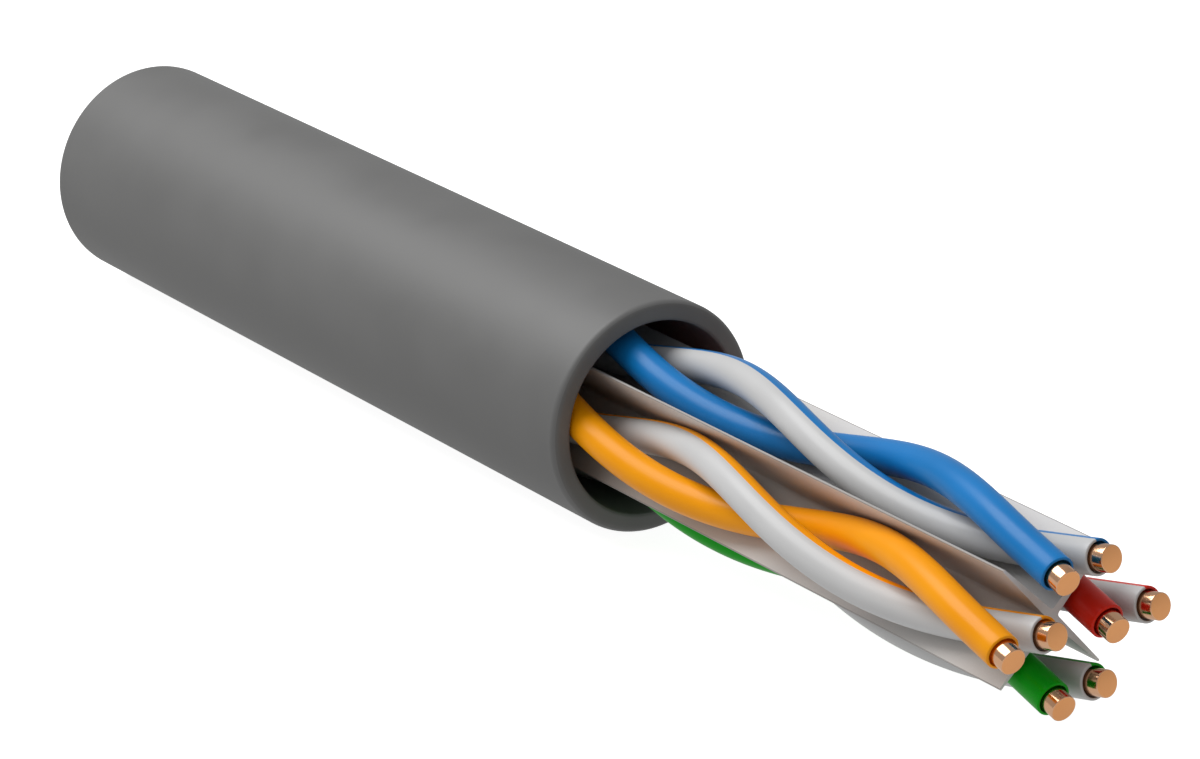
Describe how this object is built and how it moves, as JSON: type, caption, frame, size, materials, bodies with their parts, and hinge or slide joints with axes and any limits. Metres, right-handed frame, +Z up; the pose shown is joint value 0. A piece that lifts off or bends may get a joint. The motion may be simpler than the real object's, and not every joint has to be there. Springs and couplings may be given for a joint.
{
  "type": "network cable sample",
  "caption": "Short straight sample of round data cable, cut to show a cross separator and colour-coded twisted pairs with bared solid copper tips.",
  "frame": {"origin": "centre of the jacket's cut mouth, on the cable's axis; the grip mount's point is 0.2 mm inside it, where the full-diameter wall begins", "axes": "+X along the cable from the mouth towards the bare wire tips, +Z up with the blue pair on top, +Y to the red pair"},
  "size_m": [0.0413, 0.006, 0.006],
  "materials": {
    "jacket_plastic": "smooth matte grey PVC",
    "separator_plastic": "matte natural white polyethylene",
    "blue_plastic": "satin-gloss blue insulation",
    "red_plastic": "satin-gloss red insulation",
    "orange_plastic": "satin-gloss orange insulation",
    "green_plastic": "satin-gloss green insulation",
    "white_plastic": "satin-gloss white insulation",
    "copper": null
  },
  "bodies": {
    "root": {"jacket": "jacket_plastic", "cross_separator": "separator_plastic", "blue_insulation": "blue_plastic", "blue_conductor": "copper", "white_blue_insulation": "white_plastic", "white_blue_stripe": "blue_plastic", "white_blue_conductor": "copper", "red_insulation": "red_plastic", "red_conductor": "copper", "white_red_insulation": "white_plastic", "white_red_stripe": "red_plastic", "white_red_conductor": "copper", "orange_insulation": "orange_plastic", "orange_conductor": "copper", "white_orange_insulation": "white_plastic", "white_orange_stripe": "orange_plastic", "white_orange_conductor": "copper", "green_insulation": "green_plastic", "green_conductor": "copper", "white_green_insulation": "white_plastic", "white_green_stripe": "green_plastic", "white_green_conductor": "copper"}
  },
  "joints": []
}
